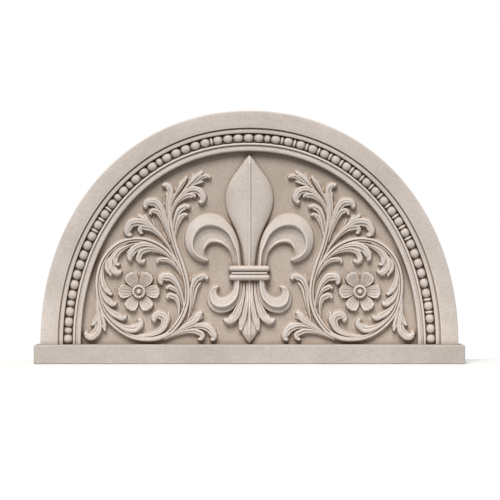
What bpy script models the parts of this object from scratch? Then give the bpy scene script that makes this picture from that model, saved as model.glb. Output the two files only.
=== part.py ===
"""Arched tympanum panel of cast stone on its sill.

Metres, +Z up. The carved face looks along -Y. X is across the panel, from its centre line.
The origin is on the sill's underside, at its middle.
"""

import math

import bmesh
import bpy
from mathutils import Matrix, Vector

# Overall sizes
ARCH_SPAN = 1.165
ARCH_RISE = 0.652
ARCH_POWER = 2.09
SLAB_DEPTH = 0.040
SILL_HEIGHT = 0.054
SILL_OVERHANG = 0.0175
SILL_PROUD = 0.016
SILL_ROUND = 0.006
JOINT = 0.0003

# Arched frame: widths are counted inwards from the panel's edge, heights from the field
BAND_WIDTH = 0.0482
BAND_PROUD = 0.034
BAND_ARRIS = 0.0035
QUIRK_WIDTH = 0.0034
QUIRK_PROUD = 0.023
ASTRAGAL_WIDTH = 0.0108
ASTRAGAL_PROUD = 0.0275
CHANNEL_WIDTH = 0.0265
CHANNEL_PROUD = 0.014
RIDGE_WIDTH = 0.0100
RIDGE_PROUD = 0.0260
DIP_WIDTH = 0.0030
DIP_PROUD = 0.0205
ROLL_WIDTH = 0.0095
ROLL_PROUD = 0.0225
FALL_WIDTH = 0.0070

# Bead course: B a bead, b a small bead, r a reel, from the left foot round to the right foot
COURSE = (
    "BbBBbBBBBBBBrBrBrB" "bBbBBBbBBBBBrBBBB" "BbBrBrBrBrBrBrBrBrBrB" "rBrBrBrBrBBBBBBrBrBBB"
)
BEAD_RADIUS = 0.0138
BEAD_LENGTHS = {"B": 0.0284, "b": 0.0186, "r": 0.0066}
REEL_RADIUS = 0.0125
BEAD_SINK = 0.001
BEAD_FILL = 0.96

# Carving: how far each part stands out of the field
SINK = 0.006
LEAF_PROUD = 0.0185
STEM_PROUD = 0.0160
ROSETTE_PROUD = 0.0170
FLEUR_PROUD = 0.0260
FLEUR_EDGE = 0.0110
TIE_PROUD = 0.0330
TIE_ROLL = 0.0075
# Shares of those heights
FOOT_KEEL = 0.8
FEATHER_RISE = 0.7
HOLLOW_TOP = 0.72
HOLLOW_RIM = 0.68
TIE_SHOULDER = 0.8
TIE_END = 0.85
TIE_WEB = 0.7
PETAL_HOLLOW = 0.85
FALL_TOP = 0.7
# A leaf stands higher where it is wider: its least share, and the rise for each square of half width
LEAF_LOW = 0.55
LEAF_RISE = 0.14
# Shares of a width: flat top of leaves and stems, blade edges, bevels of the side petals
FLAT_TOP = 0.55
BLADE_EDGE = 0.94
PETAL_EDGE = 0.06
RIDGE_STEP = 0.16
INNER_RIM = 0.86
PETAL_FLAT = 0.85
TIE_STRAIGHT = 0.94
TIE_END_ROLL = 0.6

# The carving is drawn on squared paper, x to the right and y down. These are the paper's lines.
CENTRE_X = 249.5
SILL_Y = 344.0
FIELD_HALF_SQUARES = 166.0
FIELD_RISE_SQUARES = 190.5

FRAME_WIDTH = (
    BAND_WIDTH + QUIRK_WIDTH + ASTRAGAL_WIDTH + CHANNEL_WIDTH + RIDGE_WIDTH + DIP_WIDTH
    + ROLL_WIDTH + FALL_WIDTH
)
SQUARE_X = (ARCH_SPAN / 2 - FRAME_WIDTH) / FIELD_HALF_SQUARES
SQUARE_Z = (ARCH_RISE - FRAME_WIDTH) / FIELD_RISE_SQUARES
SQUARE = (SQUARE_X + SQUARE_Z) / 2

SILL_DEPTH = SLAB_DEPTH + BAND_PROUD + SILL_PROUD
BACK_Y = SILL_DEPTH / 2
FIELD_Y = BACK_Y - SLAB_DEPTH
FOOT_Z = SILL_HEIGHT + JOINT

# Facets: steps of the arch, sides and levels of beads and reels, and the turn in degrees and the run
# that a leaf or a stem may take in one facet
ARCH_STEPS = 36
ROUND_SIDES = 6
BEAD_LEVELS = 4
REEL_LEVELS = 3
LEAF_TURN = 48
LEAF_RUN = 0.07
STEM_TURN = 26
STEM_RUN = 0.1

# Stems of one scroll: half width, then points on the squared paper
STEMS = {
    "ring": (2.5, (186, 292), (182.5, 275), (174, 259), (160, 245.5), (141, 239.2), (121, 242.5),
             (105.5, 256), (98.2, 275), (98.3, 296), (105, 315), (119, 329.5), (136, 338), (154, 339.2),
             (168, 334.5)),
    "stalk": (2.9, (132, 337.5), (151, 339.4), (168, 334), (180, 321), (187, 304), (187.5, 285),
              (182.5, 265), (176, 247), (171.5, 228), (170, 208), (173, 195)),
}
# Leaves of one scroll: half width, hook of the tip in degrees, then points from root to tip
LEAVES = {
    "over_a": (3.8, 40, (177, 263), (160, 249), (145, 244.8), (134.5, 248.5), (130, 255.5)),
    "over_b": (2.8, 150, (179, 268), (166, 254.5), (152, 249), (142, 250.8), (138.4, 257)),
    "over_c": (2.2, 90, (184, 281), (176, 267), (168, 259.8), (160, 259)),
    "fall_a": (2.7, 80, (150, 241.5), (134, 243.8), (121, 249.5), (115.5, 256), (115, 261.5)),
    "fall_b": (3.5, 75, (128, 242.5), (117, 250), (111.5, 259), (111.3, 266.5), (114.3, 271.3)),
    "fall_c": (2.2, 0, (113, 253), (107.2, 261), (106.2, 268.5), (107.6, 273)),
    "inner_a": (2.8, 30, (108, 257), (102.8, 268), (102.3, 280), (105, 288), (109, 293)),
    "inner_b": (3.1, 60, (101, 278), (101.5, 289), (105, 297.5), (111, 303.5)),
    "inner_c": (3.1, 60, (99.5, 290), (104, 303), (111.5, 312.5), (121, 318)),
    "inner_d": (3.3, 90, (101, 303), (110, 317), (122, 327), (133.5, 330), (139.8, 326)),
    "curl": (3.6, 110, (132, 336), (150, 335.5), (162, 330), (166.5, 321), (164.5, 315), (160, 313.3)),
    "curl_a": (1.7, 0, (166, 331), (169.3, 322), (168.3, 313)),
    "in_a": (3.3, 110, (184.5, 310), (183, 297), (178.5, 284.5), (171.5, 276.3), (164.5, 275.3)),
    "in_b": (2.1, 80, (182, 305), (180, 295), (176, 288.5), (171, 285.8)),
    "in_c": (2.4, 90, (179, 318), (179.5, 304), (177, 296.5), (171.8, 294)),
    "out_a": (3.0, -90, (188, 320), (191, 302), (192, 288), (196, 279.5), (202, 276)),
    "out_b": (1.8, -20, (190, 318), (194, 300), (196.5, 289), (200, 283)),
    "foot_a": (4.1, 0, (172, 334), (184, 326.3), (194, 320.3), (200.6, 313)),
    "foot_b": (3.6, -70, (166, 338), (186, 328), (200, 325), (209.5, 328), (214, 334)),
    "foot_c": (2.8, -140, (164, 339.5), (182, 332), (193.5, 330), (201, 332.6)),
    "tail_a": (3.6, -110, (97, 290), (97.3, 306), (98.5, 320), (97, 330), (92, 335.5)),
    "tail_b": (2.2, -20, (96.8, 302), (97.3, 314), (95.5, 320.5), (92.8, 324)),
    "tail_c": (2.6, 0, (98.5, 300), (100.5, 313), (102.8, 322), (104.3, 329.3)),
    "west_a": (3.2, 90, (178, 262), (166, 242), (154, 228.5), (142, 221.3), (131, 222), (126.5, 228.5)),
    "west_a1": (2.4, 0, (160, 233), (150, 223), (143, 218), (138.3, 214.3)),
    "west_b": (2.1, 150, (172, 252), (162, 236.5), (152, 228), (143, 225.3)),
    "north_a": (3.0, 90, (176, 252), (167, 228), (161, 209), (155, 201.8), (149, 201)),
    "north_b": (2.1, 110, (170, 242), (163.5, 221), (158.5, 211.8), (154, 209.8)),
    "tip_a": (2.3, 80, (171, 235), (167.6, 212), (169.2, 198), (170, 190), (168, 185.8)),
    "tip_b": (2.6, 0, (171, 215), (173.5, 201), (179, 189.5), (186.5, 178)),
    "crest_a": (1.8, 0, (176, 199), (188, 184.5), (195.5, 175)),
    "crest_b": (3.2, 0, (175, 201), (190, 184.5), (201.5, 173)),
    "crest_c": (2.3, -50, (178, 197), (194, 183.5), (203, 176.5), (207.5, 176)),
    "east_a": (3.1, -90, (171, 225), (173, 209), (180, 196.5), (191, 188.8), (200, 190.5), (203.8, 196)),
    "east_b": (2.1, -50, (173, 213), (178, 202), (186, 194.8), (193, 194)),
    "east_c": (2.7, -60, (173, 238), (174.3, 220), (178.5, 209.5), (184.5, 205.5)),
    "east_d": (2.1, -70, (174.5, 246), (175.3, 229), (178.5, 218.3), (183, 213.8)),
}
LEAF_SPREAD = 1.15
ROOT_SHARE = 0.48
HOOK_RADIUS = 1.5

# Rosette in the middle of the scroll
ROSETTE_CENTRE = (139.0, 291.5)
PETALS = 6
PETAL_ROWS = ((6.0, 3.2, 0.55), (12.0, 6.7, 0.62), (16.5, 7.8, 0.88), (20.4, 4.2, 0.76))
BOSS_RADIUS = 6.8

# Fleur-de-lis. The middle blade and the foot are (y, half width). The rows of a side petal are
# (x, y) on its outer edge, on its ridge and on its inner edge.
BLADE_ROWS = ((155.6, 0.8), (165, 8.1), (175, 15.3), (185, 20.9), (196, 23.8), (206, 23.4), (218, 19.4),
              (232, 13.3), (248, 8.4), (268, 6.4))
FOOT_ROWS = ((276, 2.6), (300, 3.3), (316, 4.8), (325, 7.0), (331, 8.0), (336.5, 5.6), (343.2, 0.6))
UPPER_ROWS = (
    ((243, 268), (238.5, 268), (232.8, 268)),
    ((241.5, 253), (237.2, 253), (230.3, 255)),
    ((239, 240), (233.5, 243), (226.5, 248.5)),
    ((233, 227), (228.5, 233.3), (221, 244.3)),
    ((223, 216.8), (220, 226.8), (215.5, 243)),
    ((210, 213), (210, 224.5), (211.5, 243.4)),
    ((198, 216), (201.5, 226.8), (208.8, 245)),
    ((188.5, 224.5), (195.6, 233), (206.8, 247.5)),
    ((184.5, 235), (192.6, 242), (205.6, 250)),
    ((185, 246), (193.6, 249.5), (205.3, 252)),
    ((189.5, 255), (197.5, 254.8), (205.8, 254)),
    ((197, 260.8), (202.5, 258), (207, 256.3)),
    ((208.3, 260), (208.5, 259), (208.7, 258)),
)
LOWER_ROWS = (
    ((243.5, 276), (239, 276), (233.5, 276)),
    ((242.8, 288), (238.7, 288), (232.3, 287.5)),
    ((240, 300), (236.4, 297), (230, 292.3)),
    ((234, 309), (231, 303.3), (226.5, 295.3)),
    ((226, 312.8), (225, 306), (223.5, 296.4)),
    ((217, 312.9), (218.3, 306), (221, 296.2)),
    ((210, 308.5), (213, 303), (219.2, 294.8)),
    ((206.6, 301), (210.8, 298), (218.3, 292.8)),
    ((207.3, 293.5), (210.4, 292.5), (218.2, 290.5)),
    ((211, 287.8), (212.3, 289), (218.2, 288.8)),
    ((218, 285.4), (218.6, 286.2), (219, 287)),
)
FEATHERS = {
    "feather": (3.9, -60, (245.8, 281), (244.3, 296), (241, 308), (236.8, 316), (231.5, 320.3)),
    "frond": (3.6, 0, (247, 284), (246, 300), (243.3, 315), (240.8, 327.5)),
}
TIE_TOP_Y = 268.5
TIE_LOW_Y = 277.2
TIE_HALF_SQUARES = 20.6


def on_panel(x, y, side=1):
    """A point of the squared paper on the panel's X and Z. The paper's left half is also the right's."""
    return Vector((side * (x - CENTRE_X) * SQUARE_X, FOOT_Z + (SILL_Y - y) * SQUARE_Z))


def placed(point, proud):
    """A point of the panel's X and Z, standing that far out of the field."""
    return Vector((point[0], FIELD_Y - proud, point[1]))


def material(name, colour, roughness):
    made = bpy.data.materials.new(name)
    made.use_nodes = True
    shader = made.node_tree.nodes["Principled BSDF"]
    shader.inputs["Base Color"].default_value = (*colour, 1)
    shader.inputs["Roughness"].default_value = roughness
    shader.inputs["Metallic"].default_value = 0.0
    return made


def add_object(name, mesh, collection, made_of=None):
    made = bpy.data.objects.new(name, mesh)
    collection.objects.link(made)
    if made_of:
        mesh.materials.append(made_of)
    return made


def mesh_from(bm, name):
    bmesh.ops.recalc_face_normals(bm, faces=bm.faces)
    mesh = bpy.data.meshes.new(name)
    bm.to_mesh(mesh)
    bm.free()
    return mesh


def loft(name, rings):
    """A closed body through rings of points, with a flat face at each end."""
    bm = bmesh.new()
    loops = [[bm.verts.new(p) for p in ring] for ring in rings]
    for near, far in zip(loops, loops[1:]):
        for k in range(len(near)):
            n = (k + 1) % len(near)
            bm.faces.new((near[k], near[n], far[n], far[k]))
    bm.faces.new(loops[0])
    bm.faces.new(reversed(loops[-1]))
    return mesh_from(bm, name)


def curve_through(points, steps):
    """Points on a smooth curve through the given ones, with any further numbers carried along."""
    rows = [tuple(map(float, p)) for p in points]
    rows.insert(0, tuple(2 * a - b for a, b in zip(rows[0], rows[1])))
    rows.append(tuple(2 * a - b for a, b in zip(rows[-1], rows[-2])))
    made = []
    for i in range(1, len(rows) - 2):
        for k in range(steps):
            t = k / steps
            made.append(tuple(
                0.5 * (2 * b + (c - a) * t + (2 * a - 5 * b + 4 * c - d) * t * t
                       + (3 * b - a - 3 * c + d) * t**3)
                for a, b, c, d in zip(*rows[i - 1:i + 3])
            ))
    made.append(rows[-2])
    return made


def with_hook(line, half_width, degrees):
    """The line with its end carried on round an arc. Positive turns to the left."""
    if not degrees:
        return line
    heading = math.atan2(line[-1][1] - line[-2][1], line[-1][0] - line[-2][0])
    turns = max(1, round(abs(degrees) / 60))
    step = math.radians(degrees) / turns
    reach = HOOK_RADIUS * half_width * abs(step)
    made = list(line)
    for _ in range(turns):
        heading += step
        x, z = made[-1][:2]
        made.append((x + reach * math.cos(heading), z + reach * math.sin(heading)))
    return made


def thinned(line, degrees, longest):
    """Fewer points: one wherever the line has turned that far or run that long since the last."""
    kept = [line[0]]
    turned = 0.0
    for before, here, after in zip(line, line[1:], line[2:]):
        a = Vector(here[:2]) - Vector(before[:2])
        b = Vector(after[:2]) - Vector(here[:2])
        turned += abs(math.degrees(a.angle_signed(b, 0.0)))
        run = (Vector(here[:2]) - Vector(kept[-1][:2])).length
        if turned > degrees or run > longest:
            kept.append(here)
            turned = 0.0
    kept.append(line[-1])
    return kept


def normals(line):
    """The left-hand normal at each point of a line."""
    made = []
    for i in range(len(line)):
        a = Vector(line[max(0, i - 1)][:2])
        b = Vector(line[min(len(line) - 1, i + 1)][:2])
        along = (b - a).normalized()
        made.append(Vector((-along.y, along.x)))
    return made


def leaf_width(share, half_width):
    """Half width along a leaf: slim at the root, full near its end, and drawn in at the tip."""
    swell = ROOT_SHARE + (1 - ROOT_SHARE) * min(1.0, share / 0.7) ** 1.5
    tip = math.sqrt(1 - 0.7 * max(0.0, (share - 0.86) / 0.14) ** 2)
    return half_width * swell * tip


def strip_rings(line, widths, prouds):
    """Rings of four points along a line: foot, shoulder, shoulder, foot."""
    rings = []
    for here, normal, width, proud in zip(line, normals(line), widths, prouds):
        at = Vector(here[:2])
        rings.append([
            placed(at + normal * width, -SINK),
            placed(at + normal * width * FLAT_TOP, proud),
            placed(at - normal * width * FLAT_TOP, proud),
            placed(at - normal * width, -SINK),
        ])
    return rings


def stem_body(name, row, side):
    half_width, *points = row
    line = curve_through([on_panel(x, y, side) for x, y in points], 6)
    line = thinned(line, STEM_TURN, STEM_RUN)
    width = half_width * SQUARE
    count = len(line)
    return loft(name, strip_rings(line, [width] * count, [STEM_PROUD] * count))


def leaf_body(name, row, side, proud=LEAF_PROUD):
    half_width, hook, *points = row
    width = half_width * SQUARE
    line = curve_through([on_panel(x, y, side) for x, y in points], 6)
    line = with_hook(line, width, hook * side)
    line = thinned(line, LEAF_TURN, LEAF_RUN)
    last = len(line) - 1
    shares = [i / last for i in range(last + 1)]
    widths = [leaf_width(s, width * LEAF_SPREAD) for s in shares]
    heights = [proud * (LEAF_LOW + LEAF_RISE * leaf_width(s, half_width)) for s in shares]
    return loft(name, strip_rings(line, widths, heights))


def keeled_body(name, rows, edge, keel):
    """A blade on the centre line, with its keel down the middle."""
    rings = []
    for y, half_squares in rows:
        middle = on_panel(CENTRE_X, y)
        half = Vector((half_squares * SQUARE_X, 0))
        rings.append([
            placed(middle - half, -SINK), placed(middle - half * BLADE_EDGE, edge), placed(middle, keel),
            placed(middle + half * BLADE_EDGE, edge), placed(middle + half, -SINK),
        ])
    return loft(name, rings)


def ridged_body(name, rows, side):
    """A petal of the fleur-de-lis: a sloping outer face up to a ridge, and a hollow inside it."""
    rings = []
    for row in rows:
        outer, ridge, inner = [on_panel(x, y, side) for x, y in row]
        rings.append([
            placed(outer, -SINK), placed(outer.lerp(ridge, PETAL_EDGE), FLEUR_EDGE),
            placed(ridge, FLEUR_PROUD), placed(ridge.lerp(inner, RIDGE_STEP), FLEUR_PROUD * HOLLOW_TOP),
            placed(ridge.lerp(inner, INNER_RIM), FLEUR_PROUD * HOLLOW_RIM), placed(inner, -SINK),
        ])
    return loft(name, rings)


def petal_body(name, centre, angle):
    along = Vector((math.cos(angle), math.sin(angle)))
    across = Vector((-along.y, along.x))
    rings = []
    for radius, half, proud in PETAL_ROWS:
        at = centre + along * radius * SQUARE
        side = across * half * SQUARE
        rings.append([
            placed(at - side, -SINK), placed(at - side * PETAL_FLAT, ROSETTE_PROUD * proud),
            placed(at, ROSETTE_PROUD * proud * PETAL_HOLLOW),
            placed(at + side * PETAL_FLAT, ROSETTE_PROUD * proud), placed(at + side, -SINK),
        ])
    return loft(name, rings)


def dome_body(name, at, radius, height, floor, along=0.0, length=None, levels=BEAD_LEVELS):
    """A round boss or bead, low in its sides. Its length along the course may differ from its width."""
    bm = bmesh.new()
    bmesh.ops.create_uvsphere(bm, u_segments=ROUND_SIDES, v_segments=levels, radius=1.0)
    shape = Matrix.Diagonal((length or radius, height, radius, 1))
    turn = Matrix.Rotation(-along, 4, "Y")
    place = Matrix.Translation(placed(at, floor))
    upright = Matrix.Rotation(math.pi / 2, 4, "X")
    bmesh.ops.transform(bm, matrix=place @ turn @ shape @ upright, verts=bm.verts)
    return mesh_from(bm, name)


def arch_point(angle, inset):
    """A point of the arch, set in from the panel's edge, and its heading. The angle runs from 0 at the
    left foot to pi at the right foot."""

    def edge(a):
        power = 2 / ARCH_POWER
        x = -math.copysign(abs(math.cos(a)) ** power, math.cos(a)) * ARCH_SPAN / 2
        return Vector((x, FOOT_Z + abs(math.sin(a)) ** power * ARCH_RISE))

    tiny = 1e-4
    if angle < tiny:
        along = Vector((0, 1))
    elif angle > math.pi - tiny:
        along = Vector((0, -1))
    else:
        along = (edge(angle + tiny) - edge(angle - tiny)).normalized()
    inwards = Vector((along.y, -along.x))
    return edge(angle) + inwards * inset, along


def frame_profile():
    """(inset, proud) from the panel's back edge over the frame's mouldings down to the field."""
    made = [(0, -SLAB_DEPTH), (0, BAND_PROUD - BAND_ARRIS), (BAND_ARRIS, BAND_PROUD)]
    at = BAND_WIDTH
    made += [(at, BAND_PROUD), (at, QUIRK_PROUD)]
    at += QUIRK_WIDTH
    made += [(at, QUIRK_PROUD), (at + ASTRAGAL_WIDTH / 2, ASTRAGAL_PROUD)]
    at += ASTRAGAL_WIDTH
    made += [(at, QUIRK_PROUD), (at, CHANNEL_PROUD)]
    at += CHANNEL_WIDTH
    made += [(at, CHANNEL_PROUD), (at, RIDGE_PROUD - BAND_ARRIS), (at + RIDGE_WIDTH / 2, RIDGE_PROUD)]
    at += RIDGE_WIDTH
    made += [(at, DIP_PROUD)]
    at += DIP_WIDTH
    made += [(at + ROLL_WIDTH / 2, ROLL_PROUD)]
    at += ROLL_WIDTH
    made += [(at, ROLL_PROUD * FALL_TOP)]
    return made + [(at + FALL_WIDTH, 0)]


def panel_body():
    """The slab with the arched frame round its field, as one closed body."""
    bm = bmesh.new()
    profile = frame_profile()
    stations = []
    for i in range(ARCH_STEPS + 1):
        row = []
        for inset, proud in profile:
            at, _ = arch_point(math.pi * i / ARCH_STEPS, inset)
            if i in (0, ARCH_STEPS):
                at.y = FOOT_Z
            row.append(bm.verts.new(placed(at, proud)))
        stations.append(row)
    for near, far in zip(stations, stations[1:]):
        for k in range(len(profile) - 1):
            bm.faces.new((near[k], near[k + 1], far[k + 1], far[k]))
    bm.faces.new([row[-1] for row in stations])
    bm.faces.new([row[0] for row in reversed(stations)])
    bm.faces.new(stations[0] + stations[-1][::-1])
    return mesh_from(bm, "panel_body")


def course_places():
    """(kind, length, place, heading) of each bead and reel, spread along the bead channel."""
    inset = BAND_WIDTH + QUIRK_WIDTH + ASTRAGAL_WIDTH + CHANNEL_WIDTH / 2
    steps = 600
    line = [arch_point(math.pi * i / steps, inset) for i in range(steps + 1)]
    runs = [0.0]
    for (a, _), (b, _) in zip(line, line[1:]):
        runs.append(runs[-1] + (b - a).length)
    spread = runs[-1] / sum(BEAD_LENGTHS[kind] for kind in COURSE)
    made = []
    done = 0.0
    i = 0
    for kind in COURSE:
        length = BEAD_LENGTHS[kind] * spread
        middle = done + length / 2
        while runs[i + 1] < middle:
            i += 1
        share = (middle - runs[i]) / (runs[i + 1] - runs[i])
        at = line[i][0].lerp(line[i + 1][0], share)
        made.append((kind, length, at, line[i][1]))
        done += length
    return made


def carve_course(carving):
    for number, (kind, length, at, along) in enumerate(course_places()):
        radius, levels, fill = (BEAD_RADIUS, BEAD_LEVELS, BEAD_FILL)
        if kind == "r":
            radius, levels, fill = (REEL_RADIUS, REEL_LEVELS, 1.0)
        name = f"course_{number:03d}"
        heading = math.atan2(along.y, along.x)
        floor = CHANNEL_PROUD - BEAD_SINK
        body = dome_body(name, at, radius, radius, floor, heading, length / 2 * fill, levels)
        add_object(name, body, carving)


def carve_scroll(carving, side):
    mark = "left" if side > 0 else "right"
    for name, row in STEMS.items():
        add_object(f"{name}_{mark}", stem_body(name, row, side), carving)
    for name, row in LEAVES.items():
        add_object(f"{name}_{mark}", leaf_body(name, row, side), carving)
    centre = on_panel(*ROSETTE_CENTRE, side)
    for k in range(PETALS):
        name = f"petal_{k}_{mark}"
        add_object(name, petal_body(name, centre, math.tau * k / PETALS), carving)
    boss = dome_body("boss", centre, BOSS_RADIUS * SQUARE, ROSETTE_PROUD, 0.0)
    add_object(f"boss_{mark}", boss, carving)


def carve_fleur(carving):
    add_object("blade", keeled_body("blade", BLADE_ROWS, FLEUR_EDGE, FLEUR_PROUD), carving)
    add_object("foot", keeled_body("foot", FOOT_ROWS, FLEUR_EDGE, FLEUR_PROUD * FOOT_KEEL), carving)
    for side in (1, -1):
        for name, rows in (("upper", UPPER_ROWS), ("lower", LOWER_ROWS)):
            add_object(f"{name}_{side}", ridged_body(name, rows, side), carving)
        for name, row in FEATHERS.items():
            add_object(f"{name}_{side}", leaf_body(name, row, side, FLEUR_PROUD * FEATHER_RISE), carving)
    for name, y in (("tie_top", TIE_TOP_Y), ("tie_low", TIE_LOW_Y)):
        half = Vector((TIE_HALF_SQUARES * SQUARE_X, 0))
        middle = on_panel(CENTRE_X, y)
        rings = []
        for share in (-1.0, -TIE_STRAIGHT, TIE_STRAIGHT, 1.0):
            at = middle + half * share
            roll, top = (TIE_END_ROLL, TIE_END) if abs(share) == 1 else (1.0, 1.0)
            up = Vector((0, TIE_ROLL * roll))
            rings.append([placed(at - up, -SINK), placed(at - up, TIE_PROUD * TIE_SHOULDER),
                          placed(at, TIE_PROUD * top), placed(at + up, TIE_PROUD * TIE_SHOULDER),
                          placed(at + up, -SINK)])
        add_object(name, loft(name, rings), carving)
    web = Vector(((TIE_HALF_SQUARES - 1) * SQUARE_X, 0))
    rings = []
    for at in (-web, web):
        top, low = on_panel(CENTRE_X, TIE_TOP_Y) + at, on_panel(CENTRE_X, TIE_LOW_Y) + at
        rings.append([placed(low, -SINK), placed(low, TIE_PROUD * TIE_WEB),
                      placed(top, TIE_PROUD * TIE_WEB), placed(top, -SINK)])
    add_object("tie_web", loft("tie_web", rings), carving)


def sill_body():
    """The sill block, with its front and upper end edges rounded."""

    def square_foot(edge):
        level = max(v.co.z for v in edge.verts) < SILL_HEIGHT / 2
        return level and edge.verts[0].co.y * edge.verts[1].co.y < 0

    bm = bmesh.new()
    bmesh.ops.create_cube(bm, size=1.0)
    length = ARCH_SPAN + 2 * SILL_OVERHANG
    bmesh.ops.scale(bm, vec=(length, SILL_DEPTH, SILL_HEIGHT), verts=bm.verts)
    bmesh.ops.translate(bm, vec=(0, 0, SILL_HEIGHT / 2), verts=bm.verts)
    rounded = [e for e in bm.edges if any(v.co.y < 0 for v in e.verts) and not square_foot(e)]
    bmesh.ops.bevel(bm, geom=rounded, offset=SILL_ROUND, segments=3, profile=0.5, affect="EDGES")
    return mesh_from(bm, "sill")


def build():
    for old in list(bpy.data.objects):
        bpy.data.objects.remove(old)
    panel = bpy.data.collections.new("tympanum")
    carving = bpy.data.collections.new("carving")
    for made in (panel, carving):
        bpy.context.scene.collection.children.link(made)
    stone = material("cast_stone", (0.53, 0.47, 0.41), 0.85)

    body = add_object("tympanum_panel", panel_body(), panel, stone)
    carve_course(carving)
    carve_fleur(carving)
    for side in (1, -1):
        carve_scroll(carving, side)
    for cutter in carving.objects:
        cutter.hide_render = True
        cutter.display_type = "WIRE"
    join = body.modifiers.new("carved_work", "BOOLEAN")
    join.operation = "UNION"
    join.operand_type = "COLLECTION"
    join.collection = carving

    add_object("base_sill", sill_body(), panel, stone)


build()
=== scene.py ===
"""Looks of the arched tympanum panel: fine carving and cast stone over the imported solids."""

import math

import bmesh
import bpy
import numpy as np
from mathutils import Matrix, Vector


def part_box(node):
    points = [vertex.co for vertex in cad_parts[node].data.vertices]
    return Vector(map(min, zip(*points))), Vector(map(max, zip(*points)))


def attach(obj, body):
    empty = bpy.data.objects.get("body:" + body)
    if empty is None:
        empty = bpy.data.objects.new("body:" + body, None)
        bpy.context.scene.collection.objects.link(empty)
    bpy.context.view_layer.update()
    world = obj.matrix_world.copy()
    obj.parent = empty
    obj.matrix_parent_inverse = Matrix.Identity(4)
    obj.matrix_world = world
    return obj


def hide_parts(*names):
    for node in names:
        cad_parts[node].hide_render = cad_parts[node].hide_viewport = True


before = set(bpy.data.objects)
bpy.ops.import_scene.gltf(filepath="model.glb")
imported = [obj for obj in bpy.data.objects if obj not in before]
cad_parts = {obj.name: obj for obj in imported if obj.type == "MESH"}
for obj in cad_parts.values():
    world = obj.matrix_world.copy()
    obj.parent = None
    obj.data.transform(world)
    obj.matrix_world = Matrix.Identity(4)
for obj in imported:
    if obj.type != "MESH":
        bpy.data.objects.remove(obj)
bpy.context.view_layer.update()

PANEL_LOW, PANEL_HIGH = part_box("tympanum_panel")
SILL_LOW, SILL_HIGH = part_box("base_sill")

# Overall places, from the solids
ARCH_SPAN = PANEL_HIGH.x - PANEL_LOW.x
ARCH_RISE = PANEL_HIGH.z - PANEL_LOW.z
FOOT_Z = PANEL_LOW.z
BACK_Y = PANEL_HIGH.y
ARCH_POWER = 2.09
SLAB_DEPTH = 0.040
FIELD_Y = BACK_Y - SLAB_DEPTH
BAND_PROUD = FIELD_Y - PANEL_LOW.y

# Arched frame: widths count inwards from the panel's edge, heights from the field
BAND_WIDTH = 0.0482
QUIRK_WIDTH = 0.0028
QUIRK_PROUD = 0.0275
ASTRAGAL_WIDTH = 0.0114
ASTRAGAL_PROUD = 0.0296
CHANNEL_WIDTH = 0.0265
CHANNEL_PROUD = 0.014
RIDGE_WIDTH = 0.0070
RIDGE_PROUD = 0.0260
DIP_WIDTH = 0.0060
DIP_PROUD = 0.0220
ROLL_WIDTH = 0.0095
ROLL_PROUD = 0.0232
FALL_WIDTH = 0.0070
FRAME_WIDTH = (
    BAND_WIDTH + QUIRK_WIDTH + ASTRAGAL_WIDTH + CHANNEL_WIDTH + RIDGE_WIDTH + DIP_WIDTH
    + ROLL_WIDTH + FALL_WIDTH
)
ARRIS = 0.0040
BAND_CORNER = 0.0018
WALL_LEAN = 0.0004
RIDGE_STEP_IN = 0.0005
RIDGE_WALL = 0.006
RIDGE_SPRING = 0.0055
DIP_SAG = 0.001
ROLL_SPRING = 0.0005
# Points down the last wall: inset from the roll and height above the field
FALL_POINTS = ((0.0004, DIP_PROUD - 0.004), (0.0012, 0.003), (0.0022, 0.0006))
ARCH_STEPS = 301
SILL_ROUND = 0.006
SILL_ROUND_STEPS = 6

# Bead course: B a bead, b a small bead, r a reel, from the left foot round to the right foot
COURSE = (
    "BbBBbBBBBBBBrBrBrB" "bBbBBBbBBBBBrBBBB" "BbBrBrBrBrBrBrBrBrBrB" "rBrBrBrBrBBBBBBrBrBBB"
)
BEAD_RADIUS = 0.0144
BEAD_LENGTHS = {"B": 0.0284, "b": 0.0186, "r": 0.0066}
REEL_RADIUS = 0.0133
# Half length of each shape as a share of its place along the channel
BEAD_FILL = 0.52
SMALL_BEAD_FILL = 0.56
REEL_FILL = 0.85
SMALL_BEAD_WIDE = 0.9
SMALL_BEAD_HIGH = 0.88
BEAD_SINK = 0.001
BEAD_SEGMENTS = 28
REEL_SEGMENTS = 16
COURSE_SEED = 4

# The carving is drawn on squared paper, x to the right and y down
CENTRE_X = 249.5
SILL_Y = 344.0
FIELD_HALF_SQUARES = 166.0
FIELD_RISE_SQUARES = 190.5
SQUARE_X = (ARCH_SPAN / 2 - FRAME_WIDTH) / FIELD_HALF_SQUARES
SQUARE_Z = (ARCH_RISE - FRAME_WIDTH) / FIELD_RISE_SQUARES

SINK = 0.003
GRID_STEP = 0.4
WALL_SLOPE = 0.0095
WALL_FOOT = 0.2

# Stems of one scroll: half width, then points on the squared paper
STEMS = {
    "ring": (2.5, (186, 292), (182.5, 275), (174, 259), (160, 245.5), (141, 239.2), (121, 242.5),
             (105.5, 256), (98.2, 275), (98.3, 296), (105, 315), (119, 329.5),
             (136, 338), (154, 339.2),
             (168, 334.5)),
    "stalk": (2.6, (132, 337.5), (151, 339.4), (168, 334), (180, 321), (187, 304), (187.5, 285),
              (182.5, 265), (176, 247), (171.5, 228), (170, 208), (173, 195)),
}
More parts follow.
